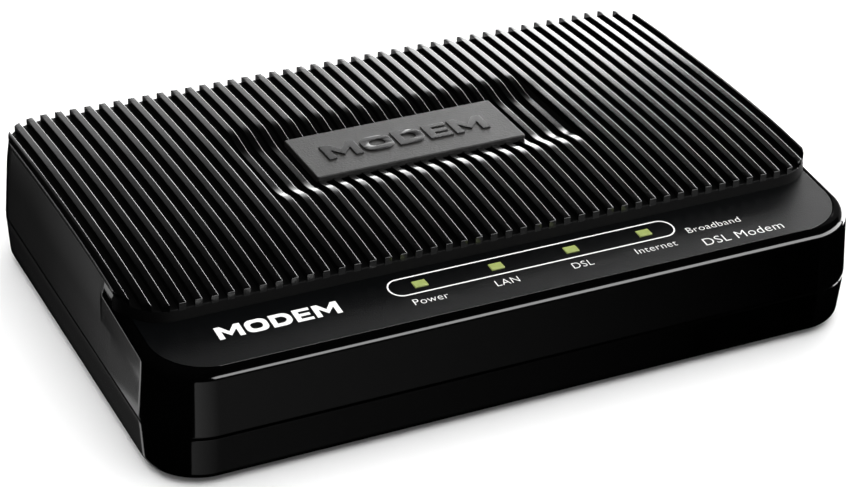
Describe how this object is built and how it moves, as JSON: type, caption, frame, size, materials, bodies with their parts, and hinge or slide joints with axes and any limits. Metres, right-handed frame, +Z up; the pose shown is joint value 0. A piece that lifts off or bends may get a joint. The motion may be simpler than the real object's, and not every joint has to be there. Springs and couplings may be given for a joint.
{
  "type": "dsl modem",
  "caption": "Desktop broadband modem in a low two-part black case with a ribbed lid, a sunken badge plate, a row of status lights and sockets along its back wall.",
  "frame": {"origin": "centre of the footprint, on the surface that the modem stands on", "axes": "+X to the right, +Y towards the socket wall at the back, +Z up out of the lid"},
  "size_m": [0.142, 0.094, 0.0285],
  "materials": {
    "case_plastic": "polished black walls, fine-textured top",
    "badge": "dark grey, faintly grained",
    "light_pipe": "translucent yellow-green",
    "board": "green solder mask",
    "led": "clear lens on a white carrier",
    "socket_plastic": "moulded black",
    "gold": "gold-plated",
    "plated": "nickel-plated",
    "switch_plastic": "moulded",
    "button_plastic": "moulded, fine texture",
    "plunger": "moulded",
    "chip": "moulded epoxy",
    "ferrite": "sintered ferrite",
    "ceramic_part": "glazed",
    "capacitor": "sleeved can",
    "winding": "enamelled copper wire",
    "can_metal": "drawn can",
    "screw": "zinc plated",
    "rubber": "matte",
    "label": "blank printed film, silver grey"
  },
  "bodies": {
    "case": {"lower_shell": "case_plastic", "upper_shell": "case_plastic", "badge_plate": "badge", "light_pipe": "light_pipe", "circuit_board": "board", "status_leds": "led", "ethernet_jack": "socket_plastic", "ethernet_contacts": "gold", "phone_jack": "socket_plastic", "phone_contacts": "gold", "power_jack": "socket_plastic", "power_jack_pin": "plated", "power_switch": "switch_plastic", "reset_switch": "switch_plastic", "modem_chip": "chip", "line_driver_chip": "chip", "memory_chip": "chip", "flash_chip": "chip", "line_transformer": "ferrite", "lan_transformer": "chip", "surge_arrester": "ceramic_part", "capacitors": "capacitor", "inductors": "winding", "crystals": "can_metal", "regulators": "chip", "chip_resistors": "chip", "pin_header": "gold", "case_screws": "screw", "board_screws": "screw", "rubber_feet": "rubber", "rating_label": "label"},
    "power_button": {"power_button": "button_plastic"},
    "reset_plunger": {"reset_plunger": "plunger"}
  },
  "joints": [
    {"name": "power_button_press", "type": "slide", "parent": "case", "child": "power_button", "axis": [0, -1, 0], "range_m": [0, 0.002], "stiffness_N_per_m": 900, "springref_m": -0.0012},
    {"name": "reset_press", "type": "slide", "parent": "case", "child": "reset_plunger", "axis": [0, -1, 0], "range_m": [0, 0.0003], "stiffness_N_per_m": 4000, "springref_m": -0.0002}
  ]
}
